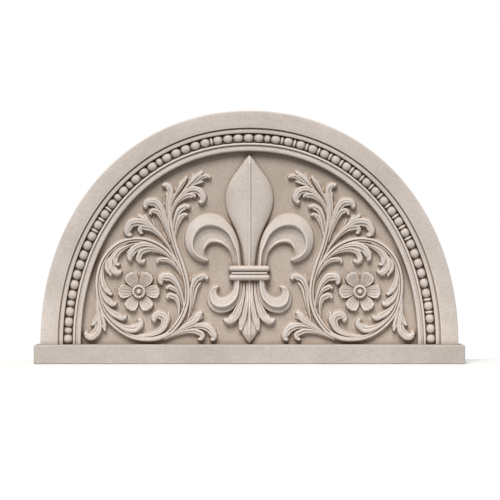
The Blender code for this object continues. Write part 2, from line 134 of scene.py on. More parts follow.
# Leaves of one scroll: half width, hook of the tip in degrees, then points from root to tip
LEAVES = {
    "over_a": (3.8, 40, (177, 263), (160, 249), (145, 244.8), (134.5, 248.5), (130, 255.5)),
    "over_a1": (1.6, 20, (140, 246), (132, 248), (127.6, 252.5)),
    "over_a2": (1.4, 0, (134, 250), (134, 254), (133, 257.5)),
    "over_b": (2.8, 150, (179, 268), (166, 254.5), (152, 249), (142, 250.8), (138.4, 257)),
    "over_c": (2.2, 90, (184, 281), (176, 267), (168, 259.8), (160, 259)),
    "fall_a": (2.7, 80, (150, 241.5), (134, 243.8), (121, 249.5), (115.5, 256), (115, 261.5)),
    "fall_b": (3.5, 75, (128, 242.5), (117, 250), (111.5, 259), (111.3, 266.5), (114.3, 271.3)),
    "fall_c": (2.8, 0, (114, 252), (107.9, 261), (107.2, 268), (108.2, 272)),
    "fall_d": (2.6, 0, (112, 257), (109, 266), (109.4, 271), (110.8, 274.8)),
    "inner_a": (2.8, 30, (108, 257), (102.8, 268), (102.3, 280), (105, 288), (109, 293)),
    "inner_b": (3.1, 60, (101, 278), (101.5, 289), (105, 297.5), (111, 303.5)),
    "inner_c": (3.1, 60, (99.5, 290), (104, 303), (111.5, 312.5), (121, 318)),
    "inner_c1": (1.4, 20, (108, 309), (115, 315), (121, 315.8)),
    "inner_d": (3.3, 90, (101, 303), (110, 317), (122, 327), (133.5, 330), (139.8, 326)),
    "inner_d1": (1.6, 20, (118, 323), (128, 327.5), (134.5, 325.2)),
    "curl": (3.9, 110, (132, 336), (150, 335), (161.5, 330), (165.8, 321.5), (164, 316),
             (160.3, 314.3)),
    "curl_a": (1.7, 0, (166, 331), (169.3, 322), (168.3, 313)),
    "in_a": (3.6, 110, (184.5, 310), (182.5, 297), (178, 284.8), (171.5, 277), (165, 276)),
    "in_a1": (1.6, 30, (178, 286), (172, 280.3), (166, 279.5)),
    "in_b": (2.5, 80, (182, 305), (179.5, 295.5), (175.5, 289.3), (171, 286.6)),
    "in_c": (2.8, 90, (179, 318), (179, 305), (176.5, 297.5), (172, 295)),
    "out_a": (3.0, -90, (188, 320), (191, 302), (192, 288), (196, 279.5), (202, 276)),
    "out_a1": (1.4, 0, (190.5, 292), (191.3, 283), (194, 276)),
    "out_b": (1.8, -20, (190, 318), (194, 300), (196.5, 289), (200, 283)),
    "foot_a": (4.1, 0, (172, 334), (184, 326.3), (194, 320.3), (200.6, 313)),
    "foot_a1": (1.7, 0, (186, 323.5), (193.3, 318), (196.5, 312.5)),
    "foot_a2": (1.5, 0, (182, 326), (188.5, 321), (192.3, 316.3)),
    "foot_a3": (1.5, 0, (190, 323), (198, 320), (202.8, 317.3)),
    "foot_b": (3.6, -70, (166, 338), (186, 328), (200, 325), (209.5, 328), (214, 334)),
    "foot_b1": (1.6, 0, (199, 326), (207, 329.5), (211.3, 334.5)),
    "foot_b2": (1.6, 0, (196, 324.3), (205, 322.8), (211.5, 325)),
    "foot_b3": (1.6, 0, (202, 325), (211.5, 327), (215.8, 331)),
    "foot_c": (2.8, -140, (164, 339.5), (182, 332), (193.5, 330), (201, 332.6)),
    "tail_a": (3.8, -110, (97, 290), (97.6, 306), (99.3, 320), (98.3, 330.5), (93.8, 336)),
    "tail_b": (2.5, -20, (96.8, 302), (97.6, 314), (96.2, 320.5), (93.8, 323.8)),
    "tail_c": (2.9, 0, (98.5, 300), (101, 313), (103.4, 322), (104.8, 329.4)),
    "west_a": (3.7, 90, (178, 262), (166, 242), (154, 229), (142, 222), (131.5, 222.8),
               (127.3, 229)),
    "west_a1": (3.0, 0, (160, 233), (150, 223.5), (143.5, 219), (139.8, 216.5)),
    "west_b": (2.8, 150, (172, 252), (162, 237), (152.5, 229), (144, 226.5)),
    "west_a2": (1.9, 0, (155, 229), (148.5, 220.5), (145, 215.5)),
    "west_b1": (1.3, 0, (160, 235), (155, 226), (152, 219.7)),
    "north_a": (3.7, 90, (176, 252), (168, 228), (162, 210), (156, 202.3), (150, 201.5)),
    "north_a2": (1.6, 0, (165, 220), (163.5, 210), (161.5, 204.5)),
    "tip_a2": (1.8, 0, (170.5, 205), (168, 197.5), (166.3, 194.5)),
    "north_a1": (1.5, 0, (164, 215), (160.8, 205), (157.5, 199.7)),
    "north_b": (2.6, 110, (170, 242), (163.8, 222), (159, 212.5), (154.8, 210.3)),
    "tip_a": (3.2, 70, (171, 235), (168, 212), (170, 198), (171, 190.5), (168.8, 186.5)),
    "tip_a1": (1.3, 0, (168, 207), (167.3, 197), (166, 191.8)),
    "tip_b": (2.6, 0, (171, 215), (173.5, 201), (179, 189.5), (186.5, 178)),
    "tip_b1": (1.4, 0, (175, 198), (178.5, 188), (181, 181.5)),
    "crest_a": (1.8, 0, (176, 199), (188, 184.5), (195.5, 175)),
    "crest_b": (3.2, 0, (175, 201), (190, 184.5), (201.5, 173)),
    "crest_e": (1.6, 0, (184, 190), (190.5, 181.5), (193.5, 174.5)),
    "crest_c": (2.3, -50, (178, 197), (194, 183.5), (203, 176.5), (207.5, 176)),
    "crest_d": (1.9, 0, (178, 196), (192, 186), (203, 181.3)),
    "east_a": (3.5, -90, (171, 225), (173, 209), (180, 197), (191, 189.5), (199.5, 191),
               (203.2, 196)),
    "east_b": (2.6, -50, (173, 213), (178, 202.5), (186, 195.6), (192.6, 194.8)),
    "east_c": (3.1, -60, (173, 238), (174.8, 221), (179, 210.3), (184.5, 206.5)),
    "east_d": (2.5, -70, (174.5, 246), (175.8, 230), (179, 219.3), (182.8, 215)),
}
ROOT_SHARE = 0.36
HOOK_RADIUS = 1.3
LEAF_PROUD = 0.0185
STEM_PROUD = 0.0160
STEM_GROOVES = ((-0.25, 0.13, 0.3),)
# A blade is that much fuller than its half width outside its bend, and inside it
OUTER_FULL = 1.22
INNER_FULL = 1.5
BEND_LEAST = 0.8
CROWN_EDGE = 0.34
CROWN_POWER = 2.2
# How strongly a flute shows from the start of its line to the end
FLUTE_FADE = ((0, 0.15, 0.8, 0.93), (0.4, 1, 1, 0))
# Flutes of a leaf: middle and width as shares of its half width, and depth
NARROW_FLUTES = ((-0.3, 0.2, 0.2),)
BROAD_FLUTES = ((0.1, 0.14, 0.12), (-0.45, 0.18, 0.22))
NARROW_HALF = 1.9
BROAD_HALF = 3.3
STEM_RISE = ((0, 0.12), (0.3, 1))
SWELL_END = 0.7
TIP_START = 0.84
TIP_LOSS = 0.3
LEAF_LOW = 0.55
LEAF_RISE = 0.14
KNOB_RISE = 1.12
GROOVE_REACH = 1.5
GROOVE_FLOOR = 0.5
BLUNT_HALF = 2.0
KNOB_SHARE = 0.88
KNOB_LARGEST = 2.9
SCROLL_SHEET = (78.0, 224.0, 164.0, 347.0)

# Rosette in the middle of the scroll
ROSETTE_CENTRE = (139.0, 291.5)
ROSETTE_PROUD = 0.0170
PETALS = 6
PETAL_ROWS = ((0, 0.2), (6, 3.4), (12, 6.8), (14, 7.6), (16.2, 7.9), (18, 7.3), (19.5, 5.7),
              (20.5, 3.6),
              (21.2, 0.8), (21.5, -2))
PETAL_RIBS = 5
PETAL_CUP = ((5, 9, 13, 17, 19.3, 20.8), (0.36, 0.42, 0.56, 0.84, 1.0, 0.86))
RIB_SHOWS = ((8, 10, 16, 19), (0.7, 1, 0.8, 0))
SCALLOP = 0.55
SCALLOP_SQUARES = 4.6
ROSETTE_REACH = 23
# Discs under the boss: radius on the squared paper and height as a share
BOSS_DISCS = ((12.5, 0.26), (6.4, 0.74))
BOSS_RING = 5.4
BOSS_RING_HALF = 1.3
BOSS_RING_RISE = 0.38
BOSS_BEADS = 14
BOSS_RADIUS = 3.9
BOSS_RISE = 1.3

# Fleur-de-lis. The middle blade and the foot are (y, half width). The rows of a side petal are
# (x, y) on its outer edge, on its ridge and on its inner edge.
FLEUR_PROUD = 0.0260
FLEUR_EDGE = 0.0110
BLADE_ROWS = ((155.6, 0.5), (160, 4.5), (165, 8.0), (170, 11.7), (175, 15.4), (180, 18.6),
              (185, 21.0),
              (190, 22.7), (195, 23.6), (200, 23.9), (205, 23.5), (210, 22.5), (215, 20.8),
              (220, 18.7),
              (230, 14.2), (240, 10.5), (250, 8.0), (262, 6.5), (270, 6.2))
FOOT_ROWS = ((274, 2.6), (290, 2.9), (305, 3.5), (316, 4.8), (325, 7.0), (330, 8.0), (333, 7.6),
             (335.5, 6.2), (339, 3.7), (343.2, 0.4))
WEB_ROWS = ((230, 13.5), (236, 12.5), (244, 11), (255, 10), (268, 10))
WEB_PROUD = 0.0065
UPPER_ROWS = (
    ((243, 268), (238.5, 268), (232.8, 268)),
    ((241.5, 253), (237.2, 253), (230.3, 255)),
    ((239, 240), (233.5, 243), (226.5, 248.5)),
    ((233, 227), (228.5, 233.3), (221, 244.3)),
    ((223, 216.8), (220, 226.8), (215.5, 243)),
    ((210, 213), (210, 224.5), (211.5, 243.4)),
    ((198, 216), (201.5, 226.8), (208.8, 245)),
    ((188.5, 224.5), (195.6, 233), (206.8, 247.5)),
    ((184.5, 235), (192.6, 242), (205.6, 250)),
    ((185, 246), (193.6, 249.5), (205.3, 252)),
    ((189.5, 255), (197.5, 254.8), (205.8, 254)),
    ((197, 260.6), (202.5, 258), (206.8, 256.3)),
    ((203.5, 262.2), (206.3, 259.6), (208, 257.8)),
    ((208.3, 261.4), (208.5, 260.1), (208.9, 259)),
)
LOWER_ROWS = (
    ((243.5, 276), (239, 276), (233.5, 276)),
    ((242.8, 288), (238.7, 288), (232.3, 287.5)),
    ((240, 300), (236.4, 297), (230, 292.3)),
    ((234, 309), (231, 303.3), (226.5, 295.3)),
    ((226, 312.8), (225, 306), (223.5, 296.4)),
    ((217, 312.9), (218.3, 306), (221, 296.2)),
    ((210, 308.5), (213, 303), (219.2, 294.8)),
    ((206.6, 301), (210.8, 298), (218.3, 292.8)),
    ((207.3, 293.5), (210.4, 292.5), (218.2, 290.5)),
    ((210.6, 287.4), (212.4, 289), (218.3, 289.8)),
    ((214.2, 284.9), (215.6, 286.9), (218.8, 288.9)),
    ((218, 284.8), (218.4, 286.1), (219.5, 288)),
    ((219.8, 286.2), (219.6, 286.8), (219.5, 287.4)),
)
# Heights across a side petal as shares of its full height: the bevel, then the hollow
BEVEL_KNOTS = ((0, 0.42), (0.1, 0.52), (0.9, 0.98), (1, 1.0))
HOLLOW_KNOTS = ((0, 1.0), (0.035, 0.97), (0.08, 0.66), (0.14, 0.52), (0.45, 0.40), (0.74, 0.44),
                (0.84, 0.64), (0.92, 0.63), (1, 0.4))
PETAL_TURN = 1
PETAL_SHEET = (180.0, 248.0, 209.0, 317.0)
PETAL_STEP = 0.3
FEATHERS = {
    "feather": (4.0, -60, (244.8, 271), (243.4, 292), (240.4, 306), (236.6, 315.5), (231.5, 320.3)),
    "feather_a": (1.9, 0, (243.6, 290), (240.5, 303), (236, 311.5), (230.3, 316.3)),
    "frond": (4.1, 0, (247.2, 271), (246.4, 298), (243.9, 314), (241.2, 328.5)),
    "frond_a": (1.8, 0, (246, 306), (244.8, 318), (244.2, 328.5)),
}
FOOT_SHEET = (218.0, 277.0, 267.0, 340.0)
TIE_TOP_Y = 268.5
TIE_LOW_Y = 277.2
TIE_HALF_SQUARES = 20.6
TIE_ROLL_SQUARES = 3.0
TIE_PROUD = 0.0330
TIE_SIDE_FALL = 0.0026 * 1.6
FILLET_BELOW_MIDDLE = 0.2
FILLET_SET_IN = 2.2
FILLET_SQUARES = 1.9
FILLET_RISE = 0.88
FEATHER_RISE = 1.05
FOOT_KEEL = 0.85
# Rib down the middle of the blade: half width on the squared paper and heights in metres
RIB_HALF = 1.4
RIB_PROUD = 0.0036
RIB_GROOVE_AT = 2.7
RIB_GROOVE_DEPTH = 0.0008
FLANK_BELOW_KEEL = 0.0032


def on_panel(x, y, proud):
    """Places on the panel, from squares across and down and metres out of the field."""
    x, y, proud = np.broadcast_arrays(x, y, proud)
    return np.stack([
        (x - CENTRE_X) * SQUARE_X, FIELD_Y - proud, FOOT_Z + (SILL_Y - y) * SQUARE_Z,
    ], -1)


def smooth(points, steps):
    """Points on a smooth curve through the given ones."""
    rows = np.array(points, float)
    rows = np.vstack([2 * rows[0] - rows[1], rows, 2 * rows[-1] - rows[-2]])
    t = np.linspace(0, 1, steps, endpoint=False)[:, None]
    made = []
    for a, b, c, d in zip(rows, rows[1:], rows[2:], rows[3:]):
        made.append(0.5 * (2 * b + (c - a) * t + (2 * a - 5 * b + 4 * c - d) * t**2
                           + (3 * b - a - 3 * c + d) * t**3))
    return np.vstack([*made, rows[-2]])


def evenly(line, spacing):
    """The same line with points that far apart."""
    runs = np.r_[0, np.cumsum(np.hypot(*np.diff(line, axis=0).T))]
    at = np.linspace(0, runs[-1], max(4, int(runs[-1] / spacing)))
    return np.stack([np.interp(at, runs, part) for part in line.T], -1)


def hooked(line, half, degrees):
    """The line carried on round an arc at its end. Positive degrees turn it to the left."""
    if not degrees:
        return line
    turns = max(3, int(abs(degrees) / 15))
    step = -math.radians(degrees) / turns
    heading = math.atan2(*(line[-1] - line[-2])[::-1])
    made = [line[-1]]
    for _ in range(turns):
        heading += step
        reach = HOOK_RADIUS * half * abs(step)
        made.append(made[-1] + reach * np.array([math.cos(heading), math.sin(heading)]))
    return np.vstack([line, made[1:]])


def nearest(x, y, line):
    """The line's nearest point to each place, the way along and across from it, and headings."""
    flat = np.stack([x.ravel(), y.ravel()], -1)
    k = np.empty(len(flat), int)
    for start in range(0, len(flat), 4096):
        part = flat[start:start + 4096, None] - line[None]
        k[start:start + 4096] = (part**2).sum(-1).argmin(1)
    tangent = np.gradient(line, axis=0)
    tangent /= np.hypot(*tangent.T)[:, None]
    away = flat - line[k]
    along = (away * tangent[k]).sum(-1)
    across = tangent[k, 0] * away[:, 1] - tangent[k, 1] * away[:, 0]
    return k, along, across, tangent


class Ground:
    """Heights above the field on a fine grid over part of the squared paper."""

    def __init__(self, sheet, step=GRID_STEP):
        left, right, top, low = sheet
        self.step = step
        self.x = np.arange(left, right, step)
        self.y = np.arange(top, low, step)
        self.height = np.full((len(self.y), len(self.x)), -SINK)

    def window(self, points, reach):
        """The part of the grid around these points, and its places."""
        low, high = points.min(0) - reach, points.max(0) + reach
        i = slice(*np.searchsorted(self.y, (low[1], high[1])))
        j = slice(*np.searchsorted(self.x, (low[0], high[0])))
        x, y = np.meshgrid(self.x[j], self.y[i])
        return (i, j), x, y

    def raise_to(self, place, heights, distance):
        """Raises the ground to these heights, with steep walls at the edge, where distance is 0."""
        wall = (distance + WALL_FOOT) * WALL_SLOPE
        raised = np.maximum(np.minimum(heights, wall), -SINK)
        self.height[place] = np.maximum(self.height[place], raised)

    def blade(self, line, halves, prouds, grooves=()):
        """A rounded blade along a line. Its crest lies towards the outer side of its bend."""
        place, x, y = self.window(line, halves.max() + 2)
        k, along, across, tangent = nearest(x, y, line)
        turning = np.cross(tangent[:-1], tangent[1:]).sum()
        past = ((k == 0) & (along < 0)) | ((k == len(line) - 1) & (along > 0))
        span = np.where(past, np.hypot(across, along), np.abs(across))
        outer = -np.sign(turning) * across
        inner_full = INNER_FULL if abs(turning) > BEND_LEAST else OUTER_FULL
        full = halves[k] * np.where(outer > 0, OUTER_FULL, inner_full)
        share = np.clip(np.sign(outer) * span / full, -1, 1)
        crown = CROWN_EDGE + (1 - CROWN_EDGE) * np.sqrt(1 - np.abs(share) ** CROWN_POWER)
        for middle, width, depth in grooves:
            fade = np.interp(k / len(line), *FLUTE_FADE)
            crown -= depth * fade * np.exp(-(((share - middle) / width) ** 2))
        shape = x.shape
        self.raise_to(place, (prouds[k] * crown).reshape(shape), (full - span).reshape(shape))

    def petal(self, rows):
        """A side petal: a bevel rises from its outer edge to a ridge, with a hollow inside that."""
        lines = [evenly(smooth([row[n] for row in rows], 12), 0.4) for n in range(3)]
        outline = np.vstack([lines[0], lines[2][::-1]])
        place, x, y = self.window(outline, 2)
        found = [nearest(x, y, line) for line in lines]
        away = [np.hypot(along, across) for _, along, across, _ in found]
        to_outer, to_ridge, to_inner = away
        inside = np.zeros(x.size, bool)
        for (x0, y0), (x1, y1) in zip(outline, np.roll(outline, -1, 0)):
            if y0 != y1:
                level = (y.ravel() - y0) / (y1 - y0)
                inside ^= (level >= 0) & (level < 1) & (x.ravel() < x0 + level * (x1 - x0))
        beyond_ridge = found[1][2] * PETAL_TURN < 0
        outer_share = to_outer / (to_outer + to_ridge + 1e-6)
        inner_share = to_ridge / (to_ridge + to_inner + 1e-6)
        shape = np.where(beyond_ridge, np.interp(inner_share, *zip(*HOLLOW_KNOTS)),
                         np.interp(outer_share, *zip(*BEVEL_KNOTS)))
        distance = np.minimum(to_outer, to_inner) * np.where(inside, 1, -1)
        self.raise_to(place, (FLEUR_PROUD * shape).reshape(x.shape), distance.reshape(x.shape))

    def dome(self, centre, radius, proud):
        """A round knob."""
        place, x, y = self.window(np.array([centre]), radius + 2)
        away = np.hypot(x - centre[0], y - centre[1])
        crown = 0.4 + 0.6 * np.sqrt(np.clip(1 - (away / radius) ** 2, 0, 1))
        self.raise_to(place, proud * crown, radius - away)

    def stem(self, row):
        """A stem thickens from its start and then keeps its width."""
        half, *points = row
        line = evenly(smooth(points, 24), 0.5)
        rise = np.interp(np.linspace(0, 1, len(line)), *STEM_RISE)
        self.blade(line, half * rise, STEM_PROUD * rise, STEM_GROOVES)

    def leaf(self, row, proud):
        """A leaf swells from its root to its tip, which curls into a knob."""
        half, hook, *points = row
        line = evenly(hooked(smooth(points, 24), half, hook), 0.4)
        share = np.linspace(0, 1, len(line))
        swell = ROOT_SHARE + (1 - ROOT_SHARE) * np.minimum(1, share / SWELL_END) ** 1.5
        tip = np.clip((share - TIP_START) / (1 - TIP_START), 0, 1)
        halves = half * swell * (1 - TIP_LOSS * tip**2)
        prouds = proud * (LEAF_LOW + LEAF_RISE * halves)
        grooves = ()
        if half > NARROW_HALF:
            grooves = NARROW_FLUTES
        if half > BROAD_HALF:
            grooves = BROAD_FLUTES
        self.blade(line, halves, prouds, grooves)
        if half >= BLUNT_HALF:
            self.dome(line[-1], min(half * KNOB_SHARE, KNOB_LARGEST), prouds[-1] * KNOB_RISE)

    def fill_grooves(self):
        """Narrow gaps between neighbouring ribs are grooves and don't reach down to the field."""
        reach = round(GROOVE_REACH / self.step)
        turns = [(i, j) for i in range(-reach, reach + 1) for j in range(-reach, reach + 1)
                 if i * i + j * j <= reach * reach]
        grown = np.maximum.reduce([np.roll(self.height, turn, (0, 1)) for turn in turns])
        closed = np.minimum.reduce([np.roll(grown, turn, (0, 1)) for turn in turns])
        filled = np.maximum(self.height, closed * GROOVE_FLOOR)
        self.height = np.where(closed > 0, filled, self.height)

    def body(self, mirror=False):
        """A closed skin over the raised ground, sunk into the slab at its foot."""
        raised = self.height > -SINK
        cells = raised[:-1, :-1] | raised[1:, :-1] | raised[:-1, 1:] | raised[1:, 1:]
        i, j = np.nonzero(cells)
        wide = len(self.x)
        corner = i * wide + j
        quads = np.stack([corner, corner + 1, corner + wide + 1, corner + wide], -1)
        used, quads = np.unique(quads, return_inverse=True)
        quads = quads.reshape(-1, 4)
        x, y = np.meshgrid(self.x, self.y)
        points = on_panel(x.ravel()[used], y.ravel()[used], self.height.ravel()[used])
        if mirror:
            points[:, 0] *= -1
            quads = quads[:, ::-1]
        mesh = bpy.data.meshes.new("skin")
        mesh.from_pydata(points, [], quads[:, ::-1])
        bm = bmesh.new()
        bm.from_mesh(mesh)
        bpy.data.meshes.remove(mesh)
        open_edges = [e for e in bm.edges if len(e.link_faces) == 1]
        bmesh.ops.triangle_fill(bm, edges=open_edges, normal=(0, 1, 0))
        return bm


def loft(bm, rings):
    """Adds a closed body through rings of points."""
    loops = [[bm.verts.new(p) for p in ring] for ring in rings]
    count = len(loops[0])
    for near, far in zip(loops, loops[1:]):
        for k in range(count):
            n = (k + 1) % count
            bm.faces.new((near[k], near[n], far[n], far[k]))
    bm.faces.new(loops[0])
    bm.faces.new(reversed(loops[-1]))


def piece(name, bm, stone, node, sharp=math.radians(38)):
    """A finished piece that rides on the panel and stands for its solid."""
    bmesh.ops.recalc_face_normals(bm, faces=bm.faces)
    mesh = bpy.data.meshes.new(name)
    bm.to_mesh(mesh)
    bm.free()
    mesh.materials.append(stone)
    mesh.shade_smooth()
    mesh.set_sharp_from_angle(angle=sharp)
    made = bpy.data.objects.new(name, mesh)
    bpy.context.scene.collection.objects.link(made)
    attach(made, "root")
    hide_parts(node)
    return made


def arch_points(angles, inset):
    """(x, z) on the arch, set in from the panel's edge. Angles run from the left foot to pi."""

    def edge(a):
        cos, sin = np.cos(a), np.sin(a)
        power = 2 / ARCH_POWER
        x = -np.sign(cos) * np.abs(cos) ** power * ARCH_SPAN / 2
        return np.stack([x, FOOT_Z + np.abs(sin) ** power * ARCH_RISE], -1)

    tiny = 1e-4
    inner = np.clip(angles, tiny, math.pi - tiny)
    along = edge(inner + tiny) - edge(inner - tiny)
    along[angles <= tiny] = (0, 1)
    along[angles >= math.pi - tiny] = (0, -1)
    along /= np.hypot(*along.T)[:, None]
    return edge(angles) + np.stack([along[:, 1], -along[:, 0]], -1) * inset, along


def arc(centre, radius, start, end, steps=5):
    """Points on an arc of a profile, angles in degrees from the inwards direction."""
    turn = np.radians(np.linspace(start, end, steps))
    return [(centre[0] + radius * math.cos(a), centre[1] + radius * math.sin(a)) for a in turn]


def hump(start, width, low, high, steps=9):
    """Points over a rounded moulding."""
    turn = np.linspace(math.pi, 0, steps)
    return [(start + width / 2 * (1 + math.cos(a)), low + (high - low) * math.sin(a)) for a in turn]


def frame_profile():
    """(inset, proud) from the panel's back edge over the mouldings down to the field."""
    made = [(0.0, -SLAB_DEPTH), (0.0, BAND_PROUD - ARRIS)]
    made += arc((ARRIS, BAND_PROUD - ARRIS), ARRIS, 180, 90)[1:]
    at = BAND_WIDTH
    made += [(at * 0.35, BAND_PROUD), (at * 0.7, BAND_PROUD)]
    made += arc((at - BAND_CORNER, BAND_PROUD - BAND_CORNER), BAND_CORNER, 90, 0, 4)
    made += [(at, QUIRK_PROUD)]
    at += QUIRK_WIDTH
    made += hump(at, ASTRAGAL_WIDTH, QUIRK_PROUD, ASTRAGAL_PROUD)
    at += ASTRAGAL_WIDTH
    made += [(at + WALL_LEAN, CHANNEL_PROUD)]
    at += CHANNEL_WIDTH
    made += [(at - WALL_LEAN, CHANNEL_PROUD), (at, RIDGE_PROUD - RIDGE_WALL)]
    made += hump(at + RIDGE_STEP_IN, RIDGE_WIDTH, RIDGE_PROUD - RIDGE_SPRING, RIDGE_PROUD)
    at += RIDGE_WIDTH
    made += [(at + DIP_WIDTH / 2, DIP_PROUD - DIP_SAG)]
    at += DIP_WIDTH
    made += hump(at, ROLL_WIDTH, DIP_PROUD - ROLL_SPRING, ROLL_PROUD)
    at += ROLL_WIDTH
    made += [(at + inset, proud) for inset, proud in FALL_POINTS]
    return made + [(at + FALL_WIDTH, 0.0)]


def slab_body():
    """The slab and its frame: the profile is carried along the arch, and both feet are closed."""
    profile = frame_profile()
    angles = np.linspace(0, math.pi, ARCH_STEPS)
    bm = bmesh.new()
    columns = []
    for inset, proud in profile:
        at, _ = arch_points(angles, inset)
        at[[0, -1], 1] = FOOT_Z
        columns.append([bm.verts.new((x, FIELD_Y - proud, z)) for x, z in at])
    for near, far in zip(columns, columns[1:]):
        for k in range(len(angles) - 1):
            bm.faces.new((near[k], far[k], far[k + 1], near[k + 1]))
    bm.faces.new(columns[-1])
    bm.faces.new(columns[0][::-1])
    bm.faces.new([c[0] for c in columns] + [c[-1] for c in reversed(columns)])
    return bm


def course_body():
    """Beads and reels along the channel, each a little different from the next."""
    rng = np.random.default_rng(COURSE_SEED)
    inset = BAND_WIDTH + QUIRK_WIDTH + ASTRAGAL_WIDTH + CHANNEL_WIDTH / 2
    angles = np.linspace(0, math.pi, 4 * ARCH_STEPS - 3)
    line, along = arch_points(angles, inset)
    runs = np.r_[0, np.cumsum(np.hypot(*np.diff(line, axis=0).T))]
    lengths = np.array([BEAD_LENGTHS[kind] for kind in COURSE])
    lengths *= runs[-1] / lengths.sum()
    bm = bmesh.new()
    for kind, length, middle in zip(COURSE, lengths, np.cumsum(lengths) - lengths / 2):
        x, z = [np.interp(middle, runs, part) for part in line.T]
        heading = math.atan2(*[np.interp(middle, runs, part) for part in along.T][::-1])
        radius = REEL_RADIUS if kind == "r" else BEAD_RADIUS
        wide = radius * rng.uniform(0.98, 1.02)
        fill = REEL_FILL if kind == "r" else BEAD_FILL
        size = (length * fill, wide, radius * rng.uniform(0.97, 1.0))
        if kind == "b":
            size = (length * SMALL_BEAD_FILL, radius * SMALL_BEAD_WIDE, radius * SMALL_BEAD_HIGH)
        shape = Matrix.Diagonal((size[0], size[2], size[1], 1))
        floor = FIELD_Y - CHANNEL_PROUD - BEAD_SINK
        place = Matrix.Translation((x, floor, z)) @ Matrix.Rotation(-heading, 4, "Y")
        segments = REEL_SEGMENTS if kind == "r" else BEAD_SEGMENTS
        bmesh.ops.create_uvsphere(
            bm, u_segments=segments, v_segments=segments // 2, radius=1.0, matrix=place @ shape)
    return bm


def keel_rings(rows, edge, keel, count=32):
    """Rings of a blade on the centre line, with a fine rib down its middle."""
    line = smooth(rows, 8)
    near = np.array((0, 0.6, 1.05, 1.35, 1.65, 2.1, 2.9))
    beyond = np.sin(np.linspace(0.15, math.pi / 2, count // 2))
    rings = []
    for y, half in line:
        half = max(half, 0.3)
        full = min(1.0, half / 7)
        rib = near * min(1.0, half / 4)
        beside = np.r_[rib, rib[-1] + (half - rib[-1]) * beyond]
        x = CENTRE_X + np.r_[-beside[:0:-1], beside]
        u = (x - CENTRE_X) / half
        away = np.abs(x - CENTRE_X)
        crest = RIB_PROUD * np.exp(-((away / RIB_HALF) ** 4))
        groove = RIB_GROOVE_DEPTH * np.exp(-((away - RIB_GROOVE_AT) ** 2))
        rib = (crest - groove) * full
        flank = edge + (keel - FLANK_BELOW_KEEL - edge) * (1 - np.abs(u) ** 1.6) * full
        roll = np.sqrt(np.clip(1 - np.abs(u) ** 14, 0.0, 1))
        proud = (flank + rib) * (0.55 + 0.45 * roll)
        ring = on_panel(x, y, proud)
        ends = on_panel(np.array([x[0], x[-1]]), y, -SINK)
        rings.append([ends[0], *ring, ends[1]])
    return rings


def tie_rings(y, half, roll, proud):
    """Rings of a rounded bar across the centre line."""
    rings = []
    turn = np.radians(np.linspace(-90, 90, 13))
    straight = 1 - roll / half
    for share in np.sin(np.radians(np.linspace(-90, 90, 41))):
        end = math.sqrt(max(0.03, 1 - (max(0.0, abs(share) - straight) / (1 - straight)) ** 2))
        size = roll * end
        height = proud * (0.5 + 0.5 * end)
        x = CENTRE_X + half * share
        side = roll * TIE_SIDE_FALL * (1 - np.cos(turn))
        ring = on_panel(x, y + size * np.sin(turn), height - side)
        ends = on_panel(x, np.array([y - size, y + size]), -SINK)
        rings.append([ends[0], *ring, ends[1]])
    return rings


def add_to(bm, other):
    """Moves a body into another mesh."""
    mesh = bpy.data.meshes.new("part")
    other.to_mesh(mesh)
    other.free()
    bm.from_mesh(mesh)
    bpy.data.meshes.remove(mesh)


def fleur_body():
    """The blade, the four side petals, the foot with its strands, and the tie across them."""
    ground = Ground(FOOT_SHEET)
    for row in FEATHERS.values():
        ground.leaf(row, LEAF_PROUD * FEATHER_RISE)
    ground.fill_grooves()
    petals = Ground(PETAL_SHEET, PETAL_STEP)
    for rows in (UPPER_ROWS, LOWER_ROWS):
        petals.petal(rows)
    bm = bmesh.new()
    loft(bm, keel_rings(BLADE_ROWS, FLEUR_EDGE, FLEUR_PROUD))
    loft(bm, keel_rings(FOOT_ROWS, FLEUR_EDGE, FLEUR_PROUD * FOOT_KEEL, 16))
    loft(bm, keel_rings(WEB_ROWS, WEB_PROUD, WEB_PROUD, 8))
    for mirror in (False, True):
        add_to(bm, ground.body(mirror))
        add_to(bm, petals.body(mirror))
    for y in (TIE_TOP_Y, TIE_LOW_Y):
        loft(bm, tie_rings(y, TIE_HALF_SQUARES, TIE_ROLL_SQUARES, TIE_PROUD))
    middle = (TIE_TOP_Y + TIE_LOW_Y) / 2 + FILLET_BELOW_MIDDLE
    loft(bm, tie_rings(
        middle, TIE_HALF_SQUARES - FILLET_SET_IN, FILLET_SQUARES, TIE_PROUD * FILLET_RISE))
    return bm


